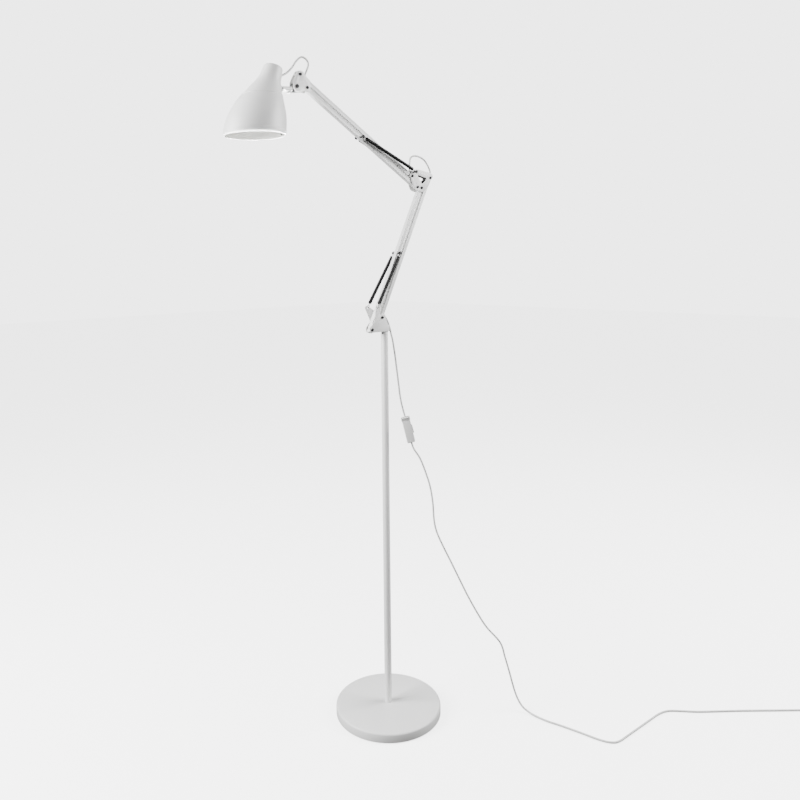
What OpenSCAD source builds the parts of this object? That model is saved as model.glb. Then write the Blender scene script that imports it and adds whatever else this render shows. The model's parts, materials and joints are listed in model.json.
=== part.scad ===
/* [Base and pole] */
// Diameter of the round base
base_d = 276; // [240:2:320]
// Height of the base at its upper edge
base_h = 24; // [22:1:30]
// Outside diameter of the pole
pole_d = 19; // [18:0.5:22]
// Height of the pole's top above the floor
pole_top = 1006; // [900:2:1100]
/* [Arms] */
// Width of the square arm tubes
tube_w = 10.5; // [9:0.5:11]
// Wall of the square arm tubes
tube_t = 1.2; // [0.8:0.1:1.4]
// Lower arm, pivot to pivot
lower_len = 430; // [400:5:480]
// Rest angle of the lower arm above the horizontal
lower_ang = 62.7; // [58:0.1:68]
// Upper arm, pivot to pivot
upper_len = 445; // [420:5:480]
// Rest angle of the upper arm, measured from straight back
upper_ang = 151.2; // [147:0.1:155]
/* [Brackets and springs] */
// Clear gap between each pair of side plates
gap = 13; // [12.6:0.1:14]
// Thickness of the side plates
plate_t = 1.5; // [1.2:0.1:2]
// Outside diameter of the tension springs
coil_d = 9.5; // [8:0.5:10]
// Wire of the tension springs
wire_d = 1.5; // [1.2:0.1:1.6]
/* [Shade] */
// Wall of the shade
shade_t = 1.2; // [0.8:0.1:1.6]
// Outside diameter of the stem that carries the shade
stem_d = 12; // [11:0.5:13]
/* [Cord] */
// Diameter of the mains cord
cord_d = 5; // [4:0.5:5]

/* [Hidden] */

// The arms lie in the XZ plane, the head towards -X and the near side towards -Y.
// Points in that plane are [x, z]; angles run from +X towards +Z.
function polar(l, a) = [l * cos(a), l * sin(a)];
function unit(v) = v / norm(v);
function at(p, y) = [p[0], y, p[1]];

// Linkage pivots, from the bracket on the pole to the head
a_pivot = [-52, pole_top + 9];
b_pivot = a_pivot + [37, 30];
d_pivot = a_pivot + polar(lower_len, lower_ang);
e_pivot = b_pivot + polar(lower_len, lower_ang);
c_pivot = d_pivot + [-16.5, 1];
k_pivot = c_pivot + [-21, 29];
f_pivot = c_pivot + polar(upper_len, upper_ang);
g_pivot = k_pivot + polar(upper_len, upper_ang);
h_pivot = f_pivot + [-31.5, -1.4];
lower_pin = a_pivot + polar(225, lower_ang);
upper_pin = c_pivot + polar(240, upper_ang);
anchor = c_pivot + [-13.5, 41];

plate_in = gap / 2;
plate_out = gap / 2 + plate_t;
tube_end = 8;
pin_d = 4;
run_fit = 0.1;
snug = 0.04;
spring_pin_d = 5;
lower_y = 12;
upper_y = 12.5;
anchor_y = 16;
ear_y = 18;

// Ears of the lower bracket: each folds outwards along a line in the side plate
fold = a_pivot + [7, 21];
fold_ang = 60;
ear_lean = 33;
ear_hole = [30.5, 20];
ear = fold + polar(ear_hole[0], fold_ang) + polar(ear_hole[1] * cos(ear_lean), fold_ang + 90);

// Swivel on the pole
spindle_d = 12;
bush_gap = 1.3;
turret_z = pole_top + 1.5;

// Stem and shade
stem_at = h_pivot + [-10.3, -7.1];
stem_ang = 188;
rim = [-409, 1481];
holder_at = rim + [50.5, 152];
holder_lean = 206.6;

// Cord: where it leaves and enters the tubes
rear_exit = b_pivot + polar(10, lower_ang) + polar(tube_w / 2, lower_ang - 90);
elbow_exit = k_pivot + polar(11, upper_ang) + polar(tube_w / 2, upper_ang - 90);
head_exit = g_pivot + polar(-17, upper_ang) + polar(tube_w / 2, upper_ang - 90);
shade_exit = [-335, 1629];

// Inline switch, hung on the cord and leaning with it
switch_l = 69;
switch_w = 22;
switch_h = 16;
switch_mid = [43.6, -42.1, 745.5];
switch_turn = -44;
switch_lean = -13.4;
plug_at = [796, -801, 2.6];
plug_turn = -44;

// Routes of the free cords, point by point
head_route = [at(head_exit, 0), [-261.5, 0, 1645], [-256.5, 0, 1656], [-251.8, 0, 1667], [-251.6, 0, 1676],
    [-258, 0, 1683.2], [-270, 0, 1686], [-281, 0, 1680], [-291.5, 0, 1669], [-299, 0, 1658],
    [-308, 0, 1648], [-317, 0, 1640], [-326.9, 0, 1633.7], at(shade_exit, 0) + [0.6, 0, 0.35]];
elbow_route = [at(elbow_exit, 0), [104.5, 0, 1444.1], [105, 0, 1457], [106, 0, 1468], [109.5, 0, 1477],
    [117.5, 0, 1483], [128, 0, 1485], [139, -0.5, 1484.5], [151, -1, 1482], [163, -2, 1476.5],
    [172, -2, 1469], [180, -2, 1459.5], [187, -1, 1450.5], [190.5, 0, 1443.5], [186.7, 0, 1435.9]];
top_route = [at(rear_exit, 0), [-0.4, 0, 1048.7], [5.4, 0, 1042.7], [10.2, 0, 1036], [14.6, 0, 1028.4],
    [18.6, 0, 1019], [22, 0, 1010], [23.8, 0, 1003.4]];
hang_route = [[24.2, 0, 1002], [25.6, -0.8, 995], [26.7, -3, 986], [27.5, -6.1, 970], [28, -11.6, 940],
    [28, -17.4, 904], [29, -21.8, 870], [31, -25, 837], [33.5, -29.4, 810], [37.9, -36.6, 779]];
floor_route = [[49.4, -47.7, 711.8], [54, -52, 694], [65.5, -63, 669], [75, -72.5, 635], [84, -81, 595],
    [89, -86, 550], [91, -88, 504], [96, -93, 472], [107, -104, 436], [121, -116.5, 397.5],
    [139, -134, 345], [158, -152.6, 291], [186, -180, 224], [214.5, -207, 178], [223, -216, 140],
    [231, -224, 100], [238, -231, 62], [243, -239, 34], [247, -252, 14], [250, -270, 4.6], [250, -292, 2.6],
    [253, -325, 2.6], [261, -358, 2.6], [271, -408, 2.6], [280, -458, 2.6], [292, -484, 2.6], [311, -495, 2.6],
    [354, -500, 2.6], [440, -509, 2.6], [486, -514.5, 2.6], [515, -526, 2.6], [538, -550, 2.6],
    [563, -579, 2.6], [600, -614, 2.6], [652, -662, 2.6], [720, -728, 2.6], plug_at];
view_side = [0.695, 0.719, 0];
arm_side = [0, 1, 0];

// ---- shared shapes ----

// Round bar across the arm, between two distances from its middle plane
module across(p, y0, y1, d) {
    translate(at(p, y1)) rotate([90, 0, 0]) cylinder(d = d, h = y1 - y0, $fn = 40);
}

// Flat sheet with an [x, z] outline, standing in the XZ plane
module sheet(outline, y0, y1) {
    translate([0, y1, 0]) rotate([90, 0, 0]) linear_extrude(y1 - y0) polygon(outline);
}

// Both sides of the arm
module both_sides() {
    children();
    mirror([0, 1, 0]) children();
}

// Round bar between two points in space
module bar(a, b, d) {
    v = b - a;
    translate(a) rotate([0, acos(v[2] / norm(v)), atan2(v[1], v[0])]) cylinder(d = d, h = norm(v), $fn = 24);
}

// Square tube that starts at a point and runs along an angle
module square_tube(p, ang, from, to) {
    translate(at(p, 0)) rotate([0, -ang, 0]) translate([from, 0, 0])
    rotate([90, 0, 90]) linear_extrude(to - from) difference() {
        square(tube_w, center = true);
        square(tube_w - 2 * tube_t, center = true);
    }
}

// Arm tube with its two pivot holes
module arm_tube(p, q, ang, len) {
    difference() {
        square_tube(p, ang, -tube_end, len + tube_end);
        across(p, -tube_w, tube_w, pin_d + run_fit);
        across(q, -tube_w, tube_w, pin_d + run_fit);
    }
}

// Pan-head screw through both plates, with a socket and a nut on the far side
module pivot_screw(p) {
    difference() {
        across(p, -plate_out - 2.2, -plate_out, 7.6);
        across(p, -plate_out - 3, -plate_out - 0.9, 4);
    }
    across(p, -plate_out - 0.9, plate_out + 4, pin_d);
    difference() {
        translate(at(p, plate_out + 3.2)) rotate([90, 0, 0]) cylinder(d = 8.1, h = 3.2, $fn = 6);
        across(p, plate_out - 1, plate_out + 5, pin_d + snug);
    }
}

// Two short shouldered screws that leave the middle of the tube free for the cord
module stub_screws(p) {
    both_sides() {
        difference() {
            across(p, -plate_out - 2.2, -plate_out, 7.6);
            across(p, -plate_out - 3, -plate_out - 0.9, 4);
        }
        across(p, -plate_out - 0.9, -3.6, pin_d);
    }
}

// Pair of nylon washers between tube and plates
module washer_pair(p) {
    both_sides() difference() {
        across(p, -plate_in + 0.05, -tube_w / 2 - 0.05, 10);
        across(p, -plate_in - 1, 0, pin_d + 0.2);
    }
}

// Headed pin through a tube, for the spring hooks
module hook_pin(p, y) {
    across(p, -y - 2, y + 2, spring_pin_d);
    both_sides() across(p, -y - 3.6, -y - 2, 7.5);
}

// Ring of spring wire round a point, its axis across the arm
module hook_ring(p, y) {
    translate(at(p, y)) rotate([90, 0, 0]) rotate_extrude($fn = 32)
    translate([3.6 + wire_d / 2, 0]) circle(d = wire_d, $fn = 16);
}

// Close-wound coil as a sleeve, on the line from a to b
module coil_sleeve(a, b, from, to) {
    v = b - a;
    translate(a) rotate([0, acos(v[2] / norm(v)), atan2(v[1], v[0])]) translate([0, 0, from])
    difference() {
        cylinder(d = coil_d, h = to - from, $fn = 32);
        translate([0, 0, -1]) cylinder(d = coil_d - 2 * wire_d, h = to - from + 2, $fn = 32);
    }
}

// Rubber grommet: a flanged ring standing on a surface, its bore along an angle
module grommet(p, ang, bore) {
    translate(at(p, 0)) rotate([0, 90 - ang, 0]) difference() {
        union() {
            translate([0, 0, 0.02]) cylinder(d = 9, h = 1.4, $fn = 32);
            translate([0, 0, -tube_t]) cylinder(d = 6.6, h = tube_t + 0.1, $fn = 32);
        }
        translate([0, 0, -5]) cylinder(d = bore, h = 12, $fn = 32);
    }
}

// Smooth curve through a list of points
function spline(p, i, t) =
    let (a = p[max(i - 1, 0)], b = p[i], c = p[i + 1], d = p[min(i + 2, len(p) - 1)])
    0.5 * (2 * b + (c - a) * t + (2 * a - 5 * b + 4 * c - d) * t * t + (3 * b - a - 3 * c + d) * t * t * t);
function smooth(p, n) = [for (i = [0:len(p) - 2], k = [0:n - 1]) spline(p, i, k / n), p[len(p) - 1]];

// Round tube along a route; side is a direction that the route never follows
module cord_tube(route, side, n) {
    sides = 8;
    c = smooth(route, n);
    m = len(c);
    points = [for (i = [0:m - 1])
        let (t = unit(c[min(i + 1, m - 1)] - c[max(i - 1, 0)]), u = unit(cross(t, side)), w = cross(u, t))
        for (k = [0:sides - 1]) c[i] + cord_d / 2 * (u * cos(360 * k / sides) + w * sin(360 * k / sides))];
    walls = [for (i = [0:m - 2], k = [0:sides - 1])
        let (p = i * sides + k, q = i * sides + (k + 1) % sides)
        each [[p, p + sides, q], [q, p + sides, q + sides]]];
    ends = [[for (k = [0:sides - 1]) k], [for (k = [sides - 1:-1:0]) (m - 1) * sides + k]];
    polyhedron(points, concat(ends, walls));
}

// ---- base and pole ----

module base_cover() {
    edge = 5;
    r = base_d / 2;
    outer = [for (a = [0:15:90]) [r - edge + edge * cos(a), base_h - edge + edge * sin(a)]];
    inner = [for (a = [90:-15:0]) [r - edge + (edge - 1.5) * cos(a), base_h - edge + (edge - 1.5) * sin(a)]];
    color("gainsboro") rotate_extrude($fn = 128) polygon(concat([[r, 1.5]], outer,
        [[pole_d / 2 + 0.15, base_h + 1.2], [pole_d / 2 + 0.15, base_h - 0.3]], inner, [[r - 1.5, 1.5]]));
}

module base_weight() {
    color("dimgray") difference() {
        union() {
            translate([0, 0, 2]) cylinder(r = base_d / 2 - 2, h = 12, $fn = 96);
            translate([0, 0, 13]) cylinder(r = 30, h = base_h - 13.6, $fn = 64);
        }
        translate([0, 0, 8]) cylinder(d = pole_d + snug, h = base_h, $fn = 64);
        translate([0, 0, 1]) cylinder(d = 24, h = 4, $fn = 48);
        translate([0, 0, 1]) cylinder(d = 8.5, h = 12, $fn = 32);
    }
}

module base_pad() {
    color("darkslategray") cylinder(r = base_d / 2 - 3.5, h = 2, $fn = 96);
}

module base_bolt() {
    color("silver") {
        translate([0, 0, 3]) cylinder(d = 8, h = 25, $fn = 32);
        difference() {
            translate([0, 0, 2.2]) cylinder(d = 15, h = 1.6, $fn = 6);
            translate([0, 0, 3]) cylinder(d = 8, h = 3, $fn = 32);
        }
        difference() {
            translate([0, 0, 3.85]) cylinder(d = 20, h = 1.1, $fn = 40);
            translate([0, 0, 3]) cylinder(d = 8.2, h = 3, $fn = 32);
        }
    }
}

module pole() {
    color("gainsboro") difference() {
        translate([0, 0, 8]) cylinder(d = pole_d, h = pole_top - 8, $fn = 64);
        translate([0, 0, 7]) cylinder(d = pole_d - 2.4, h = pole_top, $fn = 64);
        set_screw(pole_d + 4, 5.1);
    }
}

module pole_plug() {
    color("silver") difference() {
        translate([0, 0, 8]) cylinder(d = pole_d - 2.4 - snug, h = 30, $fn = 48);
        translate([0, 0, 7]) cylinder(d = 8 + snug, h = 32, $fn = 32);
    }
}

// Radial screw just under the pole's top, facing the head end
module set_screw(reach, d) {
    translate([0, 0, pole_top - 3.5]) rotate([0, 90, 195]) translate([0, 0, 5.6])
    cylinder(d = d, h = reach / 2 - 5.8, $fn = 32);
}

module pole_bush() {
    color("dimgray") difference() {
        union() {
            translate([0, 0, pole_top - 40]) cylinder(d = pole_d - 2.4 - snug, h = 40, $fn = 48);
            translate([0, 0, pole_top]) cylinder(d = pole_d, h = bush_gap, $fn = 48);
        }
        translate([0, 0, pole_top - 41]) cylinder(d = spindle_d + run_fit, h = 50, $fn = 48);
        set_screw(pole_d + 4, 5.1);
    }
}

module pole_screw() {
    color("black") set_screw(pole_d, 5);
}

// ---- lower bracket ----

module spindle() {
    color("gainsboro") difference() {
        union() {
            translate([0, 0, pole_top - 38]) cylinder(d = spindle_d, h = 39.6, $fn = 48);
            translate([-8, -plate_in, turret_z]) cube([18, gap, 14.5]);
        }
        translate([0, 0, pole_top - 7]) difference() {
            cylinder(d = 20, h = 7, $fn = 32);
            translate([0, 0, -1]) cylinder(d = spindle_d - 1.6, h = 9, $fn = 40);
        }
        for (z = [4, 10.5]) translate([-2, 0, turret_z + z]) rotate([0, 90, 0]) cylinder(d = 3, h = 20, $fn = 24);
    }
}

// One side of the bracket: the flat plate and the ear that leans out from it
module bracket_side() {
    a = a_pivot;
    difference() {
        union() {
            sheet([a + [0, -7.5], [11.5, turret_z], [11.5, turret_z + 15.5], [6, turret_z + 17.5],
                [-0.2, turret_z + 32.7], [-4.9, turret_z + 45], [-9, turret_z + 48], [-21, turret_z + 46],
                fold + polar(30.5, fold_ang), fold, a + [-3.1, 10.4], a + [-8.5, 5], a + [-9, 1],
                a + [-7.5, -4.5], a + [-4.5, -7]], -plate_out, -plate_in);
            translate(at(fold, -plate_in)) rotate([0, -fold_ang, 0]) rotate([90 + ear_lean, 0, 0])
            linear_extrude(plate_t) polygon([[-1, -1], [31, -0.6], [35, 19], [34, 25], [31, 27], [27, 26.5], [24, 23]]);
        }
        across(a, -20, 20, pin_d + snug);
        across(b_pivot, -20, 20, pin_d + snug);
        translate(at(fold, -plate_in)) rotate([0, -fold_ang, 0]) rotate([90 + ear_lean, 0, 0])
        translate([ear_hole[0], ear_hole[1], -2]) cylinder(d = 5, h = 6, $fn = 24);
    }
}

module lower_bracket() {
    color("gainsboro") {
        both_sides() bracket_side();
        difference() {
            translate([10, -plate_in - 0.2, turret_z]) cube([plate_t, gap + 0.4, 15.5]);
            for (z = [4, 10.5]) translate([8, 0, turret_z + z]) rotate([0, 90, 0]) cylinder(d = 3.1, h = 6, $fn = 24);
        }
    }
}

module bracket_screws() {
    color("dimgray") for (z = [4, 10.5]) translate([0, 0, turret_z + z]) rotate([0, 90, 0]) {
        translate([0, 0, -1]) cylinder(d = 2.96, h = 12.5, $fn = 24);
        translate([0, 0, 11.5]) cylinder(d = 5.4, h = 1.4, $fn = 32);
    }
}

module lower_pivots() {
    color("dimgray") {
        pivot_screw(a_pivot);
        pivot_screw(b_pivot);
    }
}

module lower_washers() {
    color("whitesmoke") {
        washer_pair(a_pivot);
        washer_pair(b_pivot);
    }
}

// ---- lower arm ----

module lower_front_tube() {
    color("gainsboro") difference() {
        arm_tube(a_pivot, d_pivot, lower_ang, lower_len);
        across(lower_pin, -tube_w, tube_w, spring_pin_d + snug);
    }
}

module lower_spring_pin() {
    color("black") hook_pin(lower_pin, lower_y);
}

module lower_rear_tube() {
    color("gainsboro") difference() {
        arm_tube(b_pivot, e_pivot, lower_ang, lower_len);
        translate(at(rear_exit, 0)) rotate([0, 180 - lower_ang, 0]) translate([0, 0, -3])
        cylinder(d = 6.6, h = 6, $fn = 32);
    }
}

module rear_grommet() {
    color("black") grommet(rear_exit, lower_ang - 90, 5.2);
}

// Stretch of cord that lies on the lower wall inside a tube
module inner_cord(p, ang, from, to) {
    sag = (tube_w - 2 * tube_t - cord_d) / 2;
    q = p + polar(sag, ang - 90);
    bar(at(q + polar(from, ang), 0), at(q + polar(to, ang), 0), cord_d);
}

module cord_in_rear() {
    color("whitesmoke") inner_cord(b_pivot, lower_ang, 16, lower_len + tube_end);
}

module lower_springs() {
    color("black") both_sides() {
        a = at(lower_pin, -lower_y);
        b = at(ear, -ear_y);
        u = unit(b - a);
        l = norm(b - a);
        hook_ring(lower_pin, -lower_y);
        bar(a + 4.3 * u, a + 12 * u, wire_d);
        coil_sleeve(a, b, 12, l - 14);
        bar(a + (l - 14) * u, b - 8.2 * u, wire_d);
        translate(b - 4.2 * u) rotate([0, -atan2(u[2], u[0]), 0]) rotate_extrude($fn = 32)
        translate([4.2, 0]) circle(d = wire_d, $fn = 16);
    }
}

// ---- elbow ----

module elbow_plate(y0, y1) {
    c = c_pivot;
    difference() {
        sheet([c + [-16, 47.2], c + [6.4, 49], c + [31.2, 45.4], c + [52, 43.6], c + [60, 41], c + [64.1, 35.2],
            c + [63.5, 31], c + [56.3, 23.3], c + [45.3, 5.7], c + [30.3, -9.3], c + [24, -12],
            c + [1.2, -12.4], c + [-8, -10], c + [-15, -6.5], c + [-22.9, 9.6], c + [-26.7, 23],
            c + [-31, 28], c + [-29.5, 34], c + [-24.4, 36.9], c + [-22, 44]], y0, y1);
        sheet([c + [1.4, 31.5], c + [3, 33.4], c + [35.5, 27.8], c + [37.3, 25.5], c + [36, 22.5],
            c + [20.5, 10.6], c + [17, 10.8]], y0 - 1, y1 + 1);
        for (p = [c_pivot, k_pivot, d_pivot, e_pivot]) across(p, -20, 20, pin_d + snug);
        across(anchor, -20, 20, spring_pin_d + snug);
    }
}

module elbow_plate_near() {
    color("gainsboro") elbow_plate(-plate_out, -plate_in);
}

module elbow_plate_far() {
    color("gainsboro") elbow_plate(plate_in, plate_out);
}

// Black distance piece that frames the window from inside
module elbow_spacer() {
    c = c_pivot;
    color("black") sheet([c + [-4, 36.5], c + [1.5, 42], c + [36.5, 38], c + [42.3, 29], c + [40.5, 20.5],
        c + [23, 8.2], c + [20.8, 10.8], c + [36.1, 22.5], c + [37.5, 25.5], c + [35.7, 28], c + [3, 33.6],
        c + [0, 33]], -plate_in + 0.02, plate_in - 0.02);
}

module elbow_pivots() {
    color("dimgray") {
        pivot_screw(c_pivot);
        pivot_screw(k_pivot);
        pivot_screw(d_pivot);
        stub_screws(e_pivot);
    }
}

module elbow_washers() {
    color("whitesmoke") for (p = [c_pivot, k_pivot, d_pivot, e_pivot]) washer_pair(p);
}

module spring_anchor() {
    color("black") hook_pin(anchor, anchor_y);
}

// ---- upper arm ----

module upper_lower_tube() {
    color("gainsboro") difference() {
        arm_tube(c_pivot, f_pivot, upper_ang, upper_len);
        across(upper_pin, -tube_w, tube_w, spring_pin_d + snug);
    }
}

module upper_spring_pin() {
    color("black") hook_pin(upper_pin, upper_y);
}

module upper_top_tube() {
    color("gainsboro") difference() {
        arm_tube(k_pivot, g_pivot, upper_ang, upper_len);
        for (p = [elbow_exit, head_exit]) translate(at(p, 0)) rotate([0, 180 - upper_ang, 0])
            translate([0, 0, -3]) cylinder(d = 6.6, h = 6, $fn = 32);
    }
}

module top_grommets() {
    color("black") for (p = [elbow_exit, head_exit]) grommet(p, upper_ang - 90, 5.2);
}

module cord_in_top() {
    color("whitesmoke") inner_cord(k_pivot, upper_ang, 17, upper_len - 24);
}

module upper_springs() {
    color("black") both_sides() {
        a = at(upper_pin, -upper_y);
        b = at(anchor, -anchor_y);
        u = unit(b - a);
        hook_ring(upper_pin, -upper_y);
        bar(a + 4.3 * u, a + 12 * u, wire_d);
        coil_sleeve(a, b, 12, norm(b - a) - 16);
    }
}

module upper_spring_tails() {
    color("black") both_sides() {
        a = at(upper_pin, -upper_y);
        b = at(anchor, -anchor_y);
        u = unit(b - a);
        bar(a + (norm(b - a) - 75) * u, b - 4.3 * u, wire_d);
        hook_ring(anchor, -anchor_y);
    }
}

// ---- head bracket ----

module head_plate(y0, y1) {
    f = f_pivot;
    difference() {
        sheet([f + [-21.7, 37.8], f + [-26.3, 35.3], f + [-35.6, 19.5], f + [-41.8, 6.7], f + [-42, -3],
            f + [-39.5, -10], f + [-35, -14.5], f + [-29, -14], f + [-7.1, -10], f + [0, -11.5],
            f + [7.5, -8], f + [10.5, 0], f + [9, 18.5], f + [-6, 29], f + [-11.1, 35.6], f + [-15.5, 38]], y0, y1);
        for (p = [f_pivot, g_pivot]) across(p, -20, 20, pin_d + snug);
        across(h_pivot, -20, 20, spring_pin_d + snug);
    }
}

module head_plate_near() {
    color("gainsboro") head_plate(-plate_out, -plate_in);
}

module head_plate_far() {
    color("gainsboro") head_plate(plate_in, plate_out);
}

module head_pivots() {
    color("dimgray") {
        pivot_screw(f_pivot);
        pivot_screw(g_pivot);
    }
}

module head_washers() {
    color("whitesmoke") {
        washer_pair(f_pivot);
        washer_pair(g_pivot);
    }
}

module tilt_bolt() {
    h = h_pivot;
    color("dimgray") {
        difference() {
            across(h, -plate_out - 2.6, -plate_out, 10);
            translate(at(h, -plate_out - 2)) rotate([0, 25, 0]) cube([11, 1.6, 1.8], center = true);
        }
        across(h, -plate_out, plate_out + 4.5, spring_pin_d);
        difference() {
            translate(at(h, plate_out + 4)) rotate([90, 0, 0]) cylinder(d = 9.2, h = 4, $fn = 6);
            across(h, plate_out - 1, plate_out + 6, spring_pin_d + snug);
        }
    }
}

// Friction knuckle between the head plates, with a spigot that carries the stem
module knuckle() {
    h = h_pivot;
    s = stem_at;
    color("black") {
        difference() {
            union() {
                across(h, -plate_in + 0.05, plate_in - 0.05, 17);
                sheet([h + [-4, 8], h + [-11, 1], s + [-0.4, 6.6], s + [1.4, -7.4], h + [4, -13],
                    h + [7.5, -4]], -plate_in + 0.05, plate_in - 0.05);
            }
            across(h, -plate_in - 1, plate_in + 1, spring_pin_d + run_fit);
        }
        bar(at(s + polar(-2, stem_ang), 0), at(s + polar(22, stem_ang), 0), 8);
    }
}

// ---- shade ----

// Runs its children out along the stem, from the knuckle to the shade
module on_stem(u) {
    translate(at(stem_at, 0)) rotate([0, 90 - stem_ang, 0]) translate([0, 0, u]) children();
}

module stem() {
    color("gainsboro") on_stem(1) difference() {
        union() {
            cylinder(d = stem_d, h = 30, $fn = 40);
            translate([0, 0, 26]) cylinder(d1 = stem_d, d2 = 17.5, h = 6, $fn = 40);
            translate([0, 0, 32]) cylinder(d = 17.5, h = 9.5, $fn = 40);
        }
        translate([0, 0, -1]) cylinder(d = 8 + run_fit, h = 24, $fn = 32);
        translate([0, 0, 8.5]) rotate([0, -90, 0]) cylinder(d = 4 + snug, h = 20, $fn = 24);
    }
}

module stem_screws() {
    color("dimgray") both_sides() on_stem(33.2) translate([0, -7.2, 0]) {
        rotate([90, 0, 0]) cylinder(d = 3.4, h = 2.8, $fn = 24);
    }
}

// Knurled screw under the stem, which locks the shade's turn
module lock_screw() {
    color("gainsboro") on_stem(9.5) rotate([0, -90, 0]) {
        translate([0, 0, 4.15]) cylinder(d = 4, h = 4, $fn = 24);
        translate([0, 0, 6.6]) cylinder(d = 11, h = 4.6, $fn = 32);
    }
}

// Shade rings: height above the rim, shift towards the arm, radius, lean of the ring
bell = [[0, 0, 68.6, 2], [1.2, 0, 69.8, 2], [4, 0, 70.8, 2], [10, 0.3, 71.2, 2], [17, 0.7, 71, 2], [45, 6, 67, 2],
    [74, 13, 57, 1], [97, 21.6, 46, 0]];
cap = [[91, 19.6, 44.9, 0], [97, 21.8, 44.3, 0], [106, 26.3, 40, -2], [116, 31.3, 35, -4], [131, 40, 28.2, -8],
    [145, 46.2, 25, -11], [158, 51, 23.2, -13], [163.5, 52.9, 22.2, -14], [166, 53.7, 20.4, -15],
    [167, 54, 17.5, -15]];
ring_steps = 60;

function ring(s, r) = [for (k = [0:ring_steps - 1]) let (a = 360 * k / ring_steps)
    [rim[0] + s[1] + r * cos(a) * cos(s[3]), r * sin(a), rim[1] + s[0] + r * cos(a) * sin(s[3])]];
function strip(i, j) = [for (k = [0:ring_steps - 1])
    let (p = i * ring_steps + k, q = i * ring_steps + (k + 1) % ring_steps, up = (j - i) * ring_steps)
    each [[p, q, p + up], [q, q + up, p + up]]];
function lid(i, turned) = [[for (k = [0:ring_steps - 1]) i * ring_steps + (turned ? ring_steps - 1 - k : k)]];

// Thin shell with an outer and an inner skin; a closed one has a top
module shell(stations, closed) {
    out = smooth(stations, 2);
    n = len(out);
    drop = closed ? [shade_t, 0, 0, 0] : [0, 0, 0, 0];
    points = concat([for (s = out) each ring(s, s[2])],
        [for (i = [n - 1:-1:0]) each ring(i > n - 8 ? out[i] - drop : out[i], out[i][2] - shade_t)]);
    walls = [for (i = [0:n - 2]) each concat(strip(i, i + 1), strip(n + i, n + i + 1))];
    ends = closed ? concat(lid(n - 1, false), lid(n, true)) : strip(n - 1, n);
    polyhedron(points, [for (f = concat(walls, ends, strip(2 * n - 1, 0))) [for (k = [len(f) - 1:-1:0]) f[k]]]);
}

module shade_cap() {
    color("gainsboro") shell(cap, true);
}

module shade_bell() {
    color("gainsboro") shell(bell, false);
}

// Small spring tab on the rim, on the near side
module shade_tab() {
    color("dimgray") translate([rim[0], 0, rim[1]]) rotate([0, 0, -66]) translate([67.2, -2.5, -3.4])
    cube([1.2, 5, 7]);
}

module shade_grommet() {
    color("gainsboro") translate(at(shade_exit, 0)) rotate([0, 60, 0]) difference() {
        union() {
            translate([0, 0, -2.6]) cylinder(d1 = 9.5, d2 = 8, h = 3.6, $fn = 32);
            translate([0, 0, -6.5]) cylinder(d = 7, h = 5, $fn = 32);
        }
        translate([0, 0, 0]) cylinder(d = 5.2, h = 3, $fn = 32);
    }
}

// Runs its children down the middle of the lamp holder
module on_holder(u) {
    translate(at(holder_at, 0)) rotate([0, holder_lean, 0]) translate([0, 0, u]) children();
}

module lamp_holder() {
    color("black") difference() {
        union() {
            on_holder(4) cylinder(d = 30, h = 10, $fn = 48);
            on_holder(12) cylinder(d = 34, h = 34, $fn = 48);
            on_holder(-14.5) cylinder(d = 10, h = 20, $fn = 32);
        }
        on_holder(18) cylinder(d = 27, h = 40, $fn = 48);
    }
}

module holder_ring() {
    color("black") difference() {
        on_holder(30) cylinder(d = 42, h = 7, $fn = 48);
        on_holder(29) cylinder(d = 34 + snug, h = 9, $fn = 48);
    }
}

module holder_contact() {
    color("goldenrod") on_holder(18.05) {
        cylinder(d = 9, h = 1.6, $fn = 32);
        difference() {
            translate([0, 0, 4]) cylinder(d = 26.9, h = 20, $fn = 48);
            translate([0, 0, 3]) cylinder(d = 25.9, h = 22, $fn = 48);
        }
    }
}

// ---- cord, switch and plug ----

module cord_head() {
    color("whitesmoke") cord_tube(head_route, arm_side, 1);
}

module cord_elbow() {
    color("whitesmoke") cord_tube(elbow_route, arm_side, 1);
}

module cord_top() {
    color("whitesmoke") cord_tube(top_route, arm_side, 1);
}

module cord_hang() {
    color("whitesmoke") cord_tube(hang_route, view_side, 1);
}

module cord_floor() {
    color("whitesmoke") cord_tube(floor_route, view_side, 1);
}

// Switch frame: x across its width, -y its front, z along the cord
module in_switch() {
    translate(switch_mid) rotate([0, 0, switch_turn]) rotate([0, switch_lean, 0]) children();
}

// Rounded block of the switch, between two depths
module switch_block(y0, y1) {
    l = switch_l / 2;
    w = switch_w / 2;
    translate([0, y1, 0]) rotate([90, 0, 0]) linear_extrude(y1 - y0) polygon([[-w + 4, -l], [w - 4, -l],
        [w - 1.2, -l + 2.2], [w, -l + 6], [w, l - 7.5], [w + 0.8, l - 7], [w + 0.8, l - 2.5], [w - 2.5, l],
        [-w + 2.5, l], [-w - 0.8, l - 2.5], [-w - 0.8, l - 7], [-w, l - 7.5], [-w, -l + 6], [-w + 1.2, -l + 2.2]]);
}

module switch_half(y0, y1) {
    difference() {
        switch_block(y0, y1);
        translate([switch_w / 2 - 4.2, -4.2, -13]) cube([6, 8.4, 26]);
        for (z = [-switch_l / 2 - 1, switch_l / 2 - 4]) translate([0, 0, z]) cylinder(d = cord_d + 0.4, h = 5, $fn = 32);
        for (z = [-22, 22]) translate([0, 9, z]) rotate([90, 0, 0]) cylinder(d = 3, h = 12, $fn = 24);
    }
}

module switch_front() {
    color("whitesmoke") in_switch() switch_half(-switch_h / 2, -0.05);
}

module switch_back() {
    color("whitesmoke") in_switch() switch_half(0.05, switch_h / 2);
}

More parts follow.
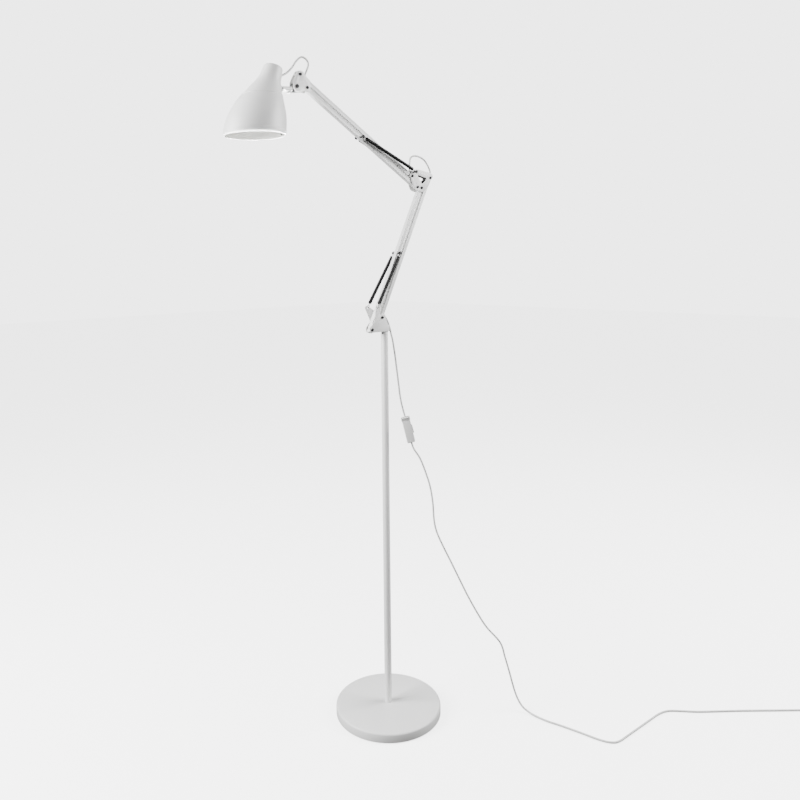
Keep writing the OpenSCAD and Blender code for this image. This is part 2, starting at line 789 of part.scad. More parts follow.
module switch_rocker() {
    x = switch_w / 2;
    color("gray") in_switch() translate([0, 4, 0]) rotate([90, 0, 0]) linear_extrude(8)
    polygon([[x - 2.6, -10], [x + 0.2, -10.6], [x + 1.6, -10.2], [x + 0.7, 0], [x + 0.5, 10.2], [x - 1, 10.6],
        [x - 2.6, 10]]);
}

module switch_screws() {
    color("dimgray") in_switch() for (z = [-22, 22]) translate([0, 7, z]) rotate([90, 0, 0])
        cylinder(d = 2.9, h = 9.5, $fn = 24);
}

// Plug frame: x along the cord's last stretch, away from the lamp
module in_plug() {
    translate([plug_at[0], plug_at[1], 0]) rotate([0, 0, plug_turn]) children();
}

module plug_relief() {
    color("whitesmoke") in_plug() difference() {
        translate([0, 0, 4.4]) rotate([0, 90, 0]) cylinder(d1 = 8, d2 = 8.8, h = 24, $fn = 32);
        translate([-1, 0, 2.6]) rotate([0, 90, 0]) cylinder(d = cord_d + snug, h = 4, $fn = 32);
    }
}

module plug_body() {
    color("whitesmoke") in_plug() translate([24.05, 0, 0.1]) linear_extrude(13.5)
    polygon([[0, -5], [7, -11], [20, -13], [26, -13], [28, -11], [28, 11], [26, 13], [20, 13], [7, 11], [0, 5]]);
}

module plug_pins() {
    color("silver") in_plug() for (y = [-9.5, 9.5]) translate([52.1, y, 6.8]) rotate([0, 90, 0])
        cylinder(d = 4, h = 19, $fn = 32);
}

base_cover();
base_weight();
base_pad();
base_bolt();
pole();
pole_plug();
pole_bush();
pole_screw();
spindle();
lower_bracket();
bracket_screws();
lower_pivots();
lower_washers();
lower_front_tube();
lower_spring_pin();
lower_rear_tube();
rear_grommet();
cord_in_rear();
lower_springs();
elbow_plate_near();
elbow_plate_far();
elbow_spacer();
elbow_pivots();
elbow_washers();
spring_anchor();
upper_lower_tube();
upper_spring_pin();
upper_top_tube();
top_grommets();
cord_in_top();
upper_springs();
upper_spring_tails();
head_plate_near();
head_plate_far();
head_pivots();
head_washers();
tilt_bolt();
knuckle();
stem();
stem_screws();
lock_screw();
shade_cap();
shade_bell();
shade_tab();
shade_grommet();
lamp_holder();
holder_ring();
holder_contact();
cord_head();
cord_elbow();
cord_top();
cord_hang();
cord_floor();
switch_front();
switch_back();
switch_rocker();
switch_screws();
plug_body();
plug_pins();
plug_relief();
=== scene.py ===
"""Adjustable arm floor lamp: a white spring-balanced reading lamp on a tall pole with a round base."""

import json
import math

import bpy
from mathutils import Matrix, Vector


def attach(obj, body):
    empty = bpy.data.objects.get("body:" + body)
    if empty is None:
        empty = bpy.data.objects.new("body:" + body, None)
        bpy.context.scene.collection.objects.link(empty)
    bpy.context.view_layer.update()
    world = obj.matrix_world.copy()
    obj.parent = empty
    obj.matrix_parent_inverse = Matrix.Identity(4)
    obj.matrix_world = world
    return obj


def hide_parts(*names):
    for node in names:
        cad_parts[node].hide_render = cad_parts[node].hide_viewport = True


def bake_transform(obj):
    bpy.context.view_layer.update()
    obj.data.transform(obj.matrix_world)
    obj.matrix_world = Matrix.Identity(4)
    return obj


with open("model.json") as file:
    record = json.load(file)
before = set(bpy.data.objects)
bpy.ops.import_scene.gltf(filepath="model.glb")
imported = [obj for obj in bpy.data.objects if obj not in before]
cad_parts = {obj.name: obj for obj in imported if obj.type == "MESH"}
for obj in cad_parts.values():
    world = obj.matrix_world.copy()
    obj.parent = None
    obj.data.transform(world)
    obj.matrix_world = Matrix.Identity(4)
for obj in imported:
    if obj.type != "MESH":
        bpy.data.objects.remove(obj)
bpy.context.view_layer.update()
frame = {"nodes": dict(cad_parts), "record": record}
nodes = frame["nodes"]
bpy.ops.object.select_all(action="DESELECT")

# ---- camera: eye level, looking at the near side from the head end ----

camera_data = bpy.data.cameras.new("studio_camera")
camera_data.sensor_width, camera_data.lens = 36, 33.3
camera_data.shift_x, camera_data.shift_y = 0.03746, -0.1715  # the eye stays level; the picture is moved down
camera = bpy.data.objects.new("studio_camera", camera_data)
bpy.context.scene.collection.objects.link(camera)
eye = (-1.3920, -1.3894, 1.1896)
heading, roll = math.radians(45.996), math.radians(0.63)
ahead = Vector((math.cos(heading), math.sin(heading), 0))
right = Vector((math.sin(heading), -math.cos(heading), 0))
side = right * math.cos(roll) - Vector((0, 0, 1)) * math.sin(roll)
up = Vector((0, 0, 1)) * math.cos(roll) + right * math.sin(roll)
turn = Matrix((side, up, -ahead)).transposed().to_4x4()
camera.matrix_world = Matrix.Translation(eye) @ turn
bpy.context.scene.camera = camera

# ---- finishes ----


def linear(hex_colour):
    """An sRGB hex colour as linear RGBA."""
    parts = [int(hex_colour[i : i + 2], 16) / 255 for i in (0, 2, 4)]
    return [c / 12.92 if c <= 0.04045 else ((c + 0.055) / 1.055) ** 2.4 for c in parts] + [1]


def add(tree, kind, values=None, links=None, **settings):
    """Adds a node with its settings, its values and the outputs that feed it."""
    node = tree.nodes.new(kind)
    for key, value in settings.items():
        setattr(node, key, value)
    for key, value in (values or {}).items():
        node.inputs[key].default_value = value
    for key, output in (links or {}).items():
        tree.links.new(output, node.inputs[key])
    return node


def finish(name, light, dark, patch_mm, grain_mm, relief_mm, rough, **shader):
    """A surface whose colour changes slowly over patch_mm; a grain of grain_mm moves its gloss and relief."""
    made = bpy.data.materials.new(name)
    made.use_nodes = True
    tree = made.node_tree
    tree.nodes.clear()
    place = add(tree, "ShaderNodeTexCoord").outputs["Object"]
    patch = add(tree, "ShaderNodeTexNoise", {"Scale": 1000 / patch_mm, "Detail": 3.0}, {"Vector": place})
    grain = add(tree, "ShaderNodeTexNoise", {"Scale": 1000 / grain_mm, "Detail": 2.0, "Roughness": 0.45},
                {"Vector": place})
    colour = add(tree, "ShaderNodeMix", {6: linear(dark), 7: linear(light)}, {0: patch.outputs["Fac"]},
                 data_type="RGBA")
    gloss = add(tree, "ShaderNodeMapRange",
                {"From Min": 0.3, "From Max": 0.7, "To Min": rough[0], "To Max": rough[1]},
                {"Value": grain.outputs["Fac"]})
    relief = add(tree, "ShaderNodeBump", {"Strength": 0.5, "Distance": relief_mm / 1000},
                 {"Height": grain.outputs["Fac"]})
    skin = add(tree, "ShaderNodeBsdfPrincipled", shader,
               {"Base Color": colour.outputs[2], "Roughness": gloss.outputs["Result"],
                "Normal": relief.outputs["Normal"]})
    add(tree, "ShaderNodeOutputMaterial", None, {"Surface": skin.outputs["BSDF"]})
    return made


# Powder coat baked on sheet steel: an even satin white with the faint orange peel of melted powder
powder_coat = finish("powder_coated_steel", "ECECEB", "E4E4E3", 70, 1.6, 0.05, (0.34, 0.44), IOR=1.5)
# Powder coat on the spun shade: the same white, a little smoother where the powder flowed out
shade_coat = finish("powder_coated_spun_steel", "EDEDEC", "E6E6E5", 90, 2.0, 0.04, (0.32, 0.40), IOR=1.5)
# Gloss enamel sprayed inside the shade: whiter than the outside paint, and made brighter still as painted
# light, so that the mouth of the shade glows softly
painted_glow_enamel = finish("gloss_enamel_brightened_as_painted_glow", "FAFAF8", "F4F4F1", 60, 2.5, 0.03, (0.20, 0.28), IOR=1.5)
# Sand-cast iron: dark, rough and pitted at the size of sand grains
cast_iron = finish("sand_cast_iron", "4A4846", "2C2B2A", 12, 0.9, 0.25, (0.62, 0.82), Metallic=0.6)
# Nitrile rubber: nearly black, dull, with a fine moulded grain
rubber = finish("moulded_nitrile_rubber", "232323", "1B1B1B", 20, 0.7, 0.05, (0.6, 0.75), IOR=1.52)
# Zinc plate on steel: bluish grey with soft cloudy patches
zinc = finish("zinc_plated_steel", "B9BCC0", "94989C", 6, 0.6, 0.02, (0.28, 0.42), Metallic=1.0)
# Black-oxide steel, of the screws and the spring pins: dark and oiled, with a dull sheen
black_oxide = finish("black_oxide_steel", "2C2C2D", "1C1C1D", 5, 0.5, 0.02, (0.46, 0.58), Metallic=0.8)
# Spring wire, drawn and then black lacquered: black with a soft line of light along the coil
spring_wire = finish("black_lacquered_spring_wire", "161617", "0E0E0F", 8, 0.5, 0.01, (0.34, 0.44), IOR=1.5)
# Black nylon 66, moulded: fine spark-eroded texture, soft sheen
black_nylon = finish("moulded_black_nylon", "1F1F20", "171718", 15, 0.6, 0.04, (0.42, 0.54), IOR=1.53)
# Natural nylon washers: slightly translucent milk white
milk_nylon = finish("natural_nylon", "EFEDE6", "E4E1D8", 8, 0.6, 0.02, (0.38, 0.5), IOR=1.53)
# White ABS, polished mould: even and glossy with very shallow waviness
white_abs = finish("polished_white_abs", "EEEEED", "E8E8E6", 25, 3.0, 0.03, (0.16, 0.24), IOR=1.54)
# Grey ABS of the rocker: textured so that a thumb grips it
grey_abs = finish("textured_grey_abs", "C9C9C8", "BDBDBC", 10, 0.5, 0.05, (0.34, 0.46), IOR=1.54)
# White PVC cord sheath, extruded: satin, with slow changes of gloss along its length
pvc = finish("extruded_white_pvc", "D9D9D8", "CDCDCB", 30, 1.2, 0.04, (0.34, 0.46), IOR=1.53)
# Brass screw shell: rolled thin brass, warm and slightly tarnished
brass = finish("rolled_brass", "D9B568", "B9924A", 5, 0.5, 0.02, (0.2, 0.34), Metallic=1.0)
# Nickel on brass plug pins: bright, a little cloudy from handling
nickel = finish("nickel_plated_brass", "D4D2CC", "BDBBB5", 8, 0.4, 0.01, (0.16, 0.28), Metallic=1.0)

# ---- shared making ----


def mm(*numbers):
    """A point given in millimetres."""
    return Vector(numbers) / 1000


def smooth(points, steps):
    """A smooth curve through points, with steps stretches between each two."""
    line = []
    for i in range(len(points) - 1):
        a, b, c, d = (Vector(points[min(max(j, 0), len(points) - 1)]) for j in (i - 1, i, i + 1, i + 2))
        for t in (k / steps for k in range(steps)):
            line.append(0.5 * (2 * b + (c - a) * t + (2 * a - 5 * b + 4 * c - d) * t * t
                               + (3 * b - a - 3 * c + d) * t**3))
    return line + [Vector(points[-1])]


def current():
    return bpy.context.view_layer.objects.active


def take(piece):
    """Makes a piece the only selected one."""
    bpy.ops.object.select_all(action="DESELECT")
    piece.select_set(True)
    bpy.context.view_layer.objects.active = piece


def settle(piece, name, body, slot, *stands_for):
    """Names a finished piece, puts its place in its mesh, gives its body and hides the CAD nodes it stands
    for; slot is not used.
    """
    take(piece)
    bpy.ops.object.transform_apply(location=True, rotation=True, scale=True)
    piece.name = piece.data.name = name
    if body:
        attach(piece, body)
    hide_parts(*stands_for)
    return piece


def apply_modifier(piece, kind, **settings):
    take(piece)
    modifier = piece.modifiers.new(kind.lower(), kind)
    for key, value in settings.items():
        setattr(modifier, key, value)
    bpy.ops.object.modifier_apply(modifier=modifier.name)


def dressed(node, material, slot, edge_mm=0.25, steps=2, angle=35):
    """A CAD node's shape, merged, with its sharp edges broken as paint and tumbling leave them."""
    piece = bpy.data.objects.new(node + "_finished", nodes[node].data.copy())
    bpy.context.scene.collection.objects.link(piece)
    take(piece)
    bpy.ops.object.mode_set(mode="EDIT")
    bpy.ops.mesh.customdata_custom_splitnormals_clear()
    bpy.ops.mesh.select_all(action="SELECT")
    bpy.ops.mesh.remove_doubles(threshold=0.000004)
    bpy.ops.mesh.dissolve_limited(angle_limit=math.radians(0.6))
    bpy.ops.object.mode_set(mode="OBJECT")
    if edge_mm:
        apply_modifier(piece, "BEVEL", width=edge_mm / 1000, segments=steps, limit_method="ANGLE",
                       angle_limit=math.radians(angle), miter_outer="MITER_ARC")
    take(piece)
    bpy.ops.object.shade_smooth_by_angle(angle=math.radians(30))
    piece.data.materials.clear()
    piece.data.materials.append(material)
    return settle(piece, node + "_finished", frame_body[node], slot, node)


frame_body = {node: body for body, names in frame["record"]["behaviour"]["bodies"].items() for node in names}


def turned(name, stations, sides, material, closed=(True, True)):
    """A round skin drawn out of a circle along stations of (x, y, z, radius, lean), in mm and degrees."""
    x, y, z, radius, lean = stations[0]
    bpy.ops.object.select_all(action="DESELECT")
    bpy.ops.mesh.primitive_circle_add(vertices=sides, radius=radius / 1000, location=mm(x, y, z),
                                      rotation=(0, -math.radians(lean), 0))
    piece = current()
    bpy.ops.object.transform_apply(location=True, rotation=True, scale=True)
    bpy.ops.object.mode_set(mode="EDIT")
    bpy.ops.mesh.select_mode(type="EDGE")
    bpy.ops.mesh.select_all(action="SELECT")
    for before, station in zip(stations, stations[1:]):
        middle, grow = mm(*station[:3]), station[3] / before[3]
        bpy.ops.mesh.extrude_edges_move(TRANSFORM_OT_translate={"value": middle - mm(*before[:3])})
        bpy.ops.transform.resize(value=(grow, grow, grow), center_override=middle)
        bpy.ops.transform.rotate(value=math.radians(station[4] - before[4]), orient_axis="Y",
                                 center_override=middle)
    if closed[1]:
        bpy.ops.mesh.edge_face_add()
    bpy.ops.mesh.select_all(action="SELECT")
    if closed[0]:
        bpy.ops.mesh.fill_holes(sides=0)
    bpy.ops.mesh.normals_make_consistent(inside=False)
    bpy.ops.object.mode_set(mode="OBJECT")
    bpy.ops.object.shade_smooth_by_angle(angle=math.radians(40))
    piece.data.materials.append(material)
    piece.name = name
    return piece


def drawn(name, line, radius_mm, material, rounds=3):
    """A round wire or cord along a line of points, closed at both ends."""
    curve = bpy.data.curves.new(name, "CURVE")
    curve.dimensions = "3D"
    curve.bevel_depth = radius_mm / 1000
    curve.bevel_resolution = rounds
    curve.use_fill_caps = True
    spline = curve.splines.new("POLY")
    spline.points.add(len(line) - 1)
    for point, place in zip(spline.points, line):
        point.co = (*place, 1)
    piece = bpy.data.objects.new(name, curve)
    bpy.context.scene.collection.objects.link(piece)
    take(piece)
    bpy.ops.object.convert(target="MESH")
    piece = current()
    bpy.ops.object.shade_smooth_by_angle(angle=math.radians(50))
    piece.data.materials.append(material)
    return piece


# ---- cords: a 5 mm round two-core lead, threaded through the arms ----


def lead(name, points, body, between, node):
    """One free stretch of the lead; when between holds two bodies, the stretch is left unattached with its
    place put in its mesh.
    """
    line = smooth([mm(*p) for p in points], 5)
    piece = settle(drawn(name, line, 2.5, pvc, 4), name, body, "cord_sheath", node)
    if between:
        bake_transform(piece)
    return piece


head_route = [(-264.81, 0, 1637.9), (-261.5, 0, 1645), (-256.5, 0, 1656), (-251.8, 0, 1667),
              (-251.6, 0, 1676), (-258, 0, 1683.2), (-270, 0, 1686), (-281, 0, 1680), (-291.5, 0, 1669),
              (-299, 0, 1658),
              (-308, 0, 1648), (-317, 0, 1640), (-326.9, 0, 1633.7), (-334.4, 0, 1629.35)]
lead("head_cord_lower", head_route[:5], None, ("upper_top", "head_bracket"), "cord_head")
lead("head_cord_loop", head_route[4:9], None, ("head_bracket", "knuckle"), "cord_head")
lead("head_cord_upper", head_route[8:], None, ("knuckle", "shade"), "cord_head")
elbow_route = [(100.61, 0, 1437.01), (104.5, 0, 1444.1), (105, 0, 1457), (106, 0, 1468), (109.5, 0, 1477),
               (117.5, 0, 1483), (128, 0, 1485), (139, -0.5, 1484.5), (151, -1, 1482), (163, -2, 1476.5),
               (172, -2, 1469), (180, -2, 1459.5), (187, -1, 1450.5), (190.5, 0, 1443.5), (186.7, 0, 1435.9)]
lead("elbow_cord", elbow_route, None, ("upper_top", "elbow"), "cord_elbow")
top_route = [(-5.75, 0, 1051.48), (-0.4, 0, 1048.7), (5.4, 0, 1042.7), (10.2, 0, 1036), (14.6, 0, 1028.4),
             (18.6, 0, 1019), (22, 0, 1010), (24.2, 0, 1002)]
lead("bracket_cord", top_route, None, ("lower_rear", "turret"), "cord_top")
hang_route = [(24.2, 0, 1002), (25.6, -0.8, 995), (26.7, -3, 986), (27.5, -6.1, 970), (28, -11.6, 940),
              (28, -17.4, 904), (29, -21.8, 870), (31, -25, 837), (33.5, -29.4, 810), (37.9, -36.6, 779)]
lead("pole_cord", hang_route, None, ("turret", "stand"), "cord_hang")
floor_route = [(49.4, -47.7, 711.8), (54, -52, 694), (65.5, -63, 669), (75, -72.5, 635), (84, -81, 595),
               (89, -86, 550), (91, -88, 504), (96, -93, 472), (107, -104, 436), (121, -116.5, 397.5),
               (139, -134, 345), (158, -152.6, 291), (186, -180, 224), (214.5, -207, 178), (223, -216, 140),
               (231, -224, 100), (238, -231, 62), (243, -239, 34), (247, -252, 14), (250, -270, 4.6),
               (250, -292, 2.6), (253, -325, 2.6), (261, -358, 2.6), (271, -408, 2.6), (280, -458, 2.6),
               (292, -484, 2.6), (311, -495, 2.6), (354, -500, 2.6), (440, -509, 2.6), (486, -514.5, 2.6),
               (515, -526, 2.6), (538, -550, 2.6), (563, -579, 2.6), (600, -614, 2.6), (652, -662, 2.6),
               (720, -728, 2.6), (796, -801, 2.6)]

# ---- switch and plug ----

switch_place = (Matrix.Translation(mm(43.6, -42.1, 745.5)) @ Matrix.Rotation(math.radians(-44), 4, "Z")
                @ Matrix.Rotation(math.radians(-13.4), 4, "Y"))
plug_place = Matrix.Translation(mm(796, -801, 0)) @ Matrix.Rotation(math.radians(-44), 4, "Z")


def block(size, middle, pick, round_mm, steps):
    """A box whose edges that pick chooses, by their two ends, are rounded over."""
    bpy.ops.object.select_all(action="DESELECT")
    bpy.ops.mesh.primitive_cube_add(size=1, location=mm(*middle), scale=mm(*size))
    piece = current()
    bpy.ops.object.transform_apply(location=True, rotation=True, scale=True)
    bpy.ops.object.mode_set(mode="EDIT")
    bpy.ops.mesh.select_mode(type="EDGE")
    bpy.ops.mesh.select_all(action="DESELECT")
    bpy.ops.object.mode_set(mode="OBJECT")
    for edge in piece.data.edges:
        edge.select = pick(*(piece.data.vertices[i].co * 1000 for i in edge.vertices))
    bpy.ops.object.mode_set(mode="EDIT")
    bpy.ops.mesh.bevel(offset=round_mm / 1000, segments=steps, affect="EDGES")
    bpy.ops.object.mode_set(mode="OBJECT")
    return piece


def cut(piece, cutter):
    """Takes the cutter's shape out of the piece."""
    apply_modifier(piece, "BOOLEAN", operation="DIFFERENCE", object=cutter, solver="EXACT")
    bpy.data.objects.remove(cutter)


def shift(piece, pick, *by):
    """Moves the corners of a piece that pick chooses, in millimetres."""
    take(piece)
    bpy.ops.object.mode_set(mode="EDIT")
    bpy.ops.mesh.select_mode(type="VERT")
    bpy.ops.mesh.select_all(action="DESELECT")
    bpy.ops.object.mode_set(mode="OBJECT")
    for vertex in piece.data.vertices:
        vertex.select = pick(vertex.co * 1000)
    bpy.ops.object.mode_set(mode="EDIT")
    bpy.ops.transform.translate(value=mm(*by))
    bpy.ops.object.mode_set(mode="OBJECT")


def switch_half(name, front, node):
    """One moulded half of the inline switch, rounded outside and flat at the joint."""
    y0, y1 = (-8, -0.05) if front else (0.05, 8)
    outer = y0 if front else y1
    half = block((22, 7.95, 69), (0, (y0 + y1) / 2, 0), lambda a, b: abs(a.y - b.y) > 1, 4, 5)
    collar = block((23.4, 8.2, 4.2), (0, outer * 0.53, 29.8), lambda a, b: abs(a.y - b.y) > 1, 4.4, 5)
    for piece, width, segments in ((half, 0.002, 4), (collar, 0.0008, 3)):
        apply_modifier(piece, "BEVEL", width=width, segments=segments, limit_method="ANGLE",
                       angle_limit=math.radians(60))
    for piece in (half, collar):
        cut(piece, block((8, 8.6, 26), (10.9, 0, 0), lambda a, b: False, 0, 1))
    for z in (-34.5, 34.5):
        turned("bore", [(0, 0, z - 4, 2.8, 0), (0, 0, z + 4, 2.8, 0)], 32, black_nylon)
        cut(half, current())
    take(half)
    collar.select_set(True)
    bpy.ops.object.join()
    bpy.ops.object.shade_smooth_by_angle(angle=math.radians(35))
    half.data.materials.clear()
    half.data.materials.append(white_abs)
    half.data.transform(switch_place)
    return settle(half, name, "stand", "white_plastic", node)


switch_front = switch_half("switch_front_half", True, "switch_front")
switch_back = switch_half("switch_back_half", False, "switch_back")
rocker = block((4.6, 8, 21.2), (10.4, 0, 0), lambda a, b: a.x > 11 and b.x > 11, 1.2, 3)
shift(rocker, lambda at: at.x > 11 and at.z < 0, 0.9, 0, 0)  # the end that stands out when it is off
shift(rocker, lambda at: at.x > 11 and at.z > 0, 0.18, 0, 0)
take(rocker)
bpy.ops.object.shade_smooth_by_angle(angle=math.radians(35))
rocker.data.materials.append(grey_abs)
rocker.data.transform(switch_place)
settle(rocker, "switch_rocker_cap", "rocker", "grey_plastic", "switch_rocker")
switch_screws = dressed("switch_screws", black_oxide, "dark_steel", 0.2)

plug_body = dressed("plug_body", white_abs, "white_plastic", 1.6, 4)
plug_pins = dressed("plug_pins", nickel, "pin_nickel", 1.0, 4)
rib_count, rib_pitch, rib_growth = 7, 3.2, 0.13
ribs = [(0, 0, 0, 2.55, 0), (0, 0, 0.6, 3.2, 0)]
for i in range(rib_count):
    z, valley, crest = 1 + i * rib_pitch, 3.4 + i * rib_growth, 3.75 + i * rib_growth
    ribs += [(0, 0, z + up_by, radius, 0)
             for up_by, radius in ((0, valley), (0.4, crest), (1.8, crest), (2.2, valley))]
relief = turned("plug_strain_relief", ribs + [(0, 0, 24, 4.4, 0)], 32, white_abs)
relief.data.transform(plug_place @ Matrix.Translation(mm(0, 0, 4.4)) @ Matrix.Rotation(math.pi / 2, 4, "Y"))
relief = settle(relief, "plug_strain_relief", "stand", "white_plastic", "plug_relief")
lead("floor_cord", floor_route, "stand", None, "cord_floor")

# ---- springs ----


def spring(name, pin, hook, body, ends, nodes_stood, hook_side, ring_mm, gap_mm):
    """A close-wound tension spring from a ring round the pin to a ring round the hook point."""
    wire, mean = 0.75, 4  # radii of the wire and of the coil's middle line, in millimetres
    axis = (hook - pin).normalized()
    across = Vector((0, 1, 0)).cross(axis).normalized()
    other = axis.cross(across)
    length = (hook - pin).length * 1000
    start, end = 12, length - gap_mm
    turns = round((end - start) / (2 * wire + 0.01))
    bpy.ops.object.select_all(action="DESELECT")
    bpy.ops.mesh.primitive_circle_add(vertices=8, radius=wire / 1000, location=mm(mean, 0, 0),
                                      rotation=(math.pi / 2, 0, 0))
    coil = current()
    bpy.ops.object.transform_apply(location=True, rotation=True, scale=True)
    apply_modifier(coil, "SCREW", axis="Z", angle=math.tau, screw_offset=(end - start) / turns / 1000,
                   iterations=turns, steps=12, render_steps=12, use_smooth_shade=True)
    bpy.ops.object.mode_set(mode="EDIT")
    bpy.ops.mesh.select_all(action="SELECT")
    bpy.ops.mesh.fill_holes(sides=0)
    bpy.ops.mesh.select_all(action="SELECT")
    bpy.ops.mesh.normals_make_consistent(inside=False)
    bpy.ops.object.mode_set(mode="OBJECT")
    coil.data.materials.append(spring_wire)
    place = Matrix((across, other, axis)).transposed().to_4x4()
    coil.data.transform(Matrix.Translation(pin + axis * start / 1000) @ place)
    coil = settle(coil, name + "_coil", None if ends != body else body, "black_spring", *nodes_stood)
    if ends != body:
        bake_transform(coil)
    for part, at, along, flank, reach, owner, ring in (
        ("_pin_hook", pin, axis, across, start, body, 4.35),
        ("_far_hook", hook, -axis, hook_side or across, gap_mm, ends, ring_mm),
    ):
        middle = at + along * ring / 1000 if flank is hook_side else at  # round a pin, or through a hole
        line = [at + (along * reach + across * mean) / 1000,
                at + (along * (reach - 1.2) + across * 2.6) / 1000, at + along * (reach - 2.2) / 1000]
        line += [middle + (along * math.cos(t) + flank * math.sin(t)) * ring / 1000
                 for t in (math.radians(a) for a in range(0, 331, 15))]
        settle(drawn(name + part, smooth(line, 2), wire, spring_wire, 2), name + part, owner, "black_spring",
               *nodes_stood)


for sign, flank in ((-1, "near"), (1, "far")):
    spring(f"lower_spring_{flank}", mm(51.196, 12 * sign, 1214.939), mm(-44.28, 18 * sign, 1070.8),
           "lower_spring_pair", "lower_spring_pair", ["lower_springs"], Vector((0, 1, 0)), 4.2, 14)
    spring(f"upper_spring_{flank}", mm(-81.594, 12.5 * sign, 1513.726), mm(115.219, 16 * sign, 1439.105),
           "upper_spring_pair", "upper_spring_ends", ["upper_springs", "upper_spring_tails"], None, 4.35, 16)

# ---- shade ----

rim_x, rim_z = -409, 1481
# Rings of (height above the rim, shift towards the arm, radius, lean); the bell ends in a rolled groove
bell = [(0, 0, 68.6, 2), (1.2, 0, 69.8, 2), (4, 0, 70.8, 2), (10, 0.3, 71.2, 2), (17, 0.7, 71, 2),
        (45, 6, 67, 2), (74, 13, 57, 1), (84, 16.7, 52.3, 0), (89, 18.5, 49.9, 0), (91.6, 19.5, 48.7, 0),
        (93, 20, 48, 0), (93.8, 20.3, 46.6, 0), (94.8, 20.7, 46.1, 0), (95.6, 21, 47, 0), (97, 21.6, 46, 0)]
cap = [(91, 19.6, 44.9, 0), (97, 21.8, 44.3, 0), (106, 26.3, 40, -2), (116, 31.3, 35, -4),
       (131, 40, 28.2, -8), (145, 46.2, 25, -11), (158, 51, 23.2, -13), (163.5, 52.9, 22.2, -14),
       (166, 53.7, 20.4, -15), (167, 54, 17.5, -15)]


def shade_skin(name, rings, closed, node):
    """Spun sheet: the outer skin drawn out ring by ring, then thickened inwards, with enamel inside that is
    brightened as a painted glow.
    """
    fine = smooth([Vector((h, s, r)) for h, s, r, _ in rings], 4)
    leans = smooth([Vector((lean, 0, 0)) for *_, lean in rings], 4)
    skin = turned(name, [(rim_x + s, 0, rim_z + h, r, lean.x) for (h, s, r), lean in zip(fine, leans)], 96,
                  shade_coat, (False, closed))
    skin.data.materials.append(painted_glow_enamel)
    apply_modifier(skin, "SOLIDIFY", thickness=0.0012, offset=-1, use_even_offset=True, material_offset=1)
    apply_modifier(skin, "BEVEL", width=0.0003, segments=2, limit_method="ANGLE",
                   angle_limit=math.radians(50))
    bpy.ops.object.shade_smooth_by_angle(angle=math.radians(40))
    return settle(skin, name, "shade", "white_paint", node)


shade_skin("shade_bell_skin", bell, False, "shade_bell")
shade_skin("shade_neck_skin", cap, True, "shade_cap")
dressed("shade_tab", black_oxide, "dark_steel", 0.25)
dressed("shade_grommet", white_abs, "white_plastic", 0.6, 3)
dressed("lamp_holder", black_nylon, "black_plastic", 0.8, 3)
dressed("holder_ring", black_nylon, "black_plastic", 0.8, 3)
dressed("holder_contact", brass, "contact_brass", 0.1, 1)
dressed("stem", powder_coat, "white_paint", 0.5, 3)
dressed("stem_screws", black_oxide, "dark_steel", 0.3)
dressed("lock_screw", powder_coat, "white_paint", 0.5)
dressed("knuckle", black_nylon, "black_plastic", 0.5, 2)

# ---- arms, brackets and stand ----

for node in ("lower_front_tube", "lower_rear_tube", "upper_lower_tube", "upper_top_tube"):
    dressed(node, powder_coat, "white_paint", 0.8, 3)
for node in ("elbow_plate_near", "elbow_plate_far", "head_plate_near", "head_plate_far", "lower_bracket"):
    dressed(node, powder_coat, "white_paint", 0.35, 2)
dressed("spindle", powder_coat, "white_paint", 0.3)
for node in ("lower_pivots", "elbow_pivots", "head_pivots", "tilt_bolt", "bracket_screws", "pole_screw"):
    dressed(node, black_oxide, "dark_steel", 0.35, 2)
for node in ("lower_spring_pin", "upper_spring_pin", "spring_anchor"):
    dressed(node, black_oxide, "black_spring", 0.4, 2)
for node in ("lower_washers", "elbow_washers", "head_washers"):
    dressed(node, milk_nylon, "nylon", 0.12)
dressed("elbow_spacer", black_nylon, "black_plastic", 0.4)
dressed("rear_grommet", rubber, "black_rubber", 0.5, 3)
dressed("top_grommets", rubber, "black_rubber", 0.5, 3)
dressed("base_cover", powder_coat, "white_paint", 0.3, 2, 50)
dressed("pole", powder_coat, "white_paint", 0.3, 2)
dressed("pole_bush", black_nylon, "black_plastic", 0.2)
dressed("base_pad", rubber, "black_rubber", 0.5)
for material, names in ((cast_iron, ["base_weight"]), (zinc, ["base_bolt", "pole_plug"]),
                        (pvc, ["cord_in_rear", "cord_in_top"])):
    for name in names:
        for place in nodes[name].material_slots:
            place.material = material

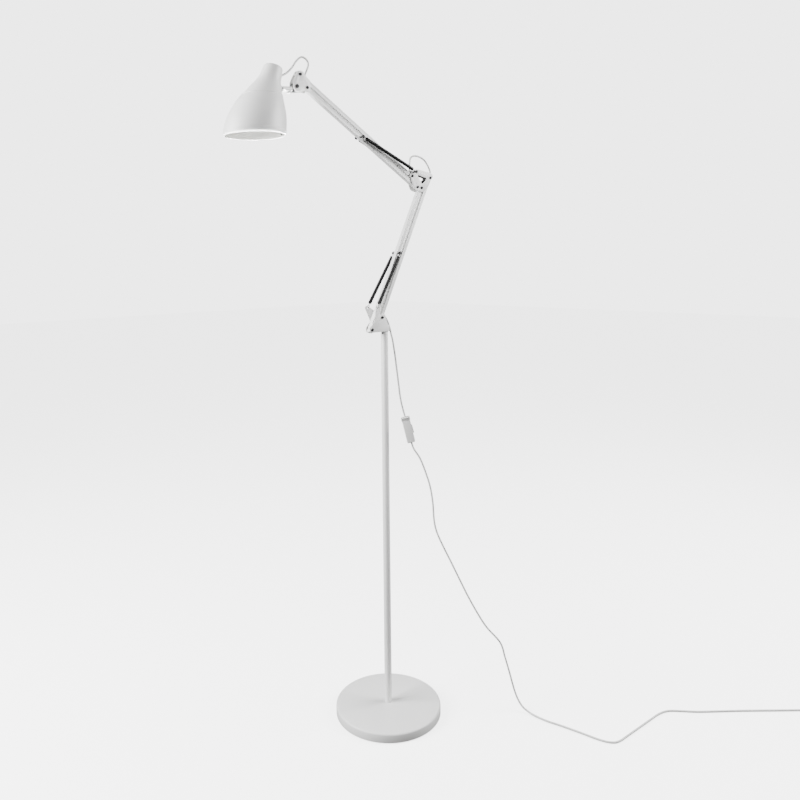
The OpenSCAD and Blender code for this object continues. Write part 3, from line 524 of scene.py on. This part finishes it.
# ---- studio ----


def softbox(name, bearing, target, height, away, size, watts, spread=180):
    """A large soft light that faces a target from a bearing in degrees."""
    light = bpy.data.lights.new(name, "AREA")
    light.shape, light.size, light.energy, light.spread = "SQUARE", size, watts, math.radians(spread)
    stand = bpy.data.objects.new(name, light)
    bpy.context.scene.collection.objects.link(stand)
    stand.location = (target[0] + away * math.cos(math.radians(bearing)),
                      target[1] + away * math.sin(math.radians(bearing)), height)
    stand.rotation_euler = (Vector(target) - stand.location).to_track_quat("-Z", "Y").to_euler()
    stand.visible_camera = False


softbox("left_softbox", 153, (-0.2, 0, 1.2), 1.9, 2.4, 1.9, 270)
softbox("right_softbox", 318, (0, 0, 1.0), 2.3, 2.6, 2.1, 190)
softbox("mouth_bounce", 226, (-0.4, 0, 1.5), 0.5, 0, 0.12, 2.2, 16)

world = bpy.data.worlds.new("white_studio")
bpy.context.scene.world = world
world.use_nodes = True
world.node_tree.nodes.clear()
seen = add(world.node_tree, "ShaderNodeLightPath").outputs["Is Camera Ray"]
backdrop = add(world.node_tree, "ShaderNodeBackground", {"Color": (1, 1, 1, 1), "Strength": 4.0})
fill = add(world.node_tree, "ShaderNodeBackground", {"Color": (1, 1, 1, 1), "Strength": 0.25})
both = add(world.node_tree, "ShaderNodeMixShader", None,
           {0: seen, 1: fill.outputs[0], 2: backdrop.outputs[0]})
add(world.node_tree, "ShaderNodeOutputWorld", None, {"Surface": both.outputs[0]})

bpy.ops.object.select_all(action="DESELECT")
bpy.ops.mesh.primitive_plane_add(size=30, location=(0, 0, -0.0005))
floor = current()
floor.name = "studio_floor"
sweep = bpy.data.materials.new("white_floor_sheet")
sweep.use_nodes = True
paper = sweep.node_tree.nodes["Principled BSDF"]
for key, value in {"Base Color": (0.9, 0.9, 0.9, 1), "Roughness": 0.6, "Emission Color": (1, 1, 1, 1),
                   "Emission Strength": 3.5}.items():
    paper.inputs[key].default_value = value
floor.data.materials.append(sweep)
floor.visible_diffuse = floor.visible_glossy = False
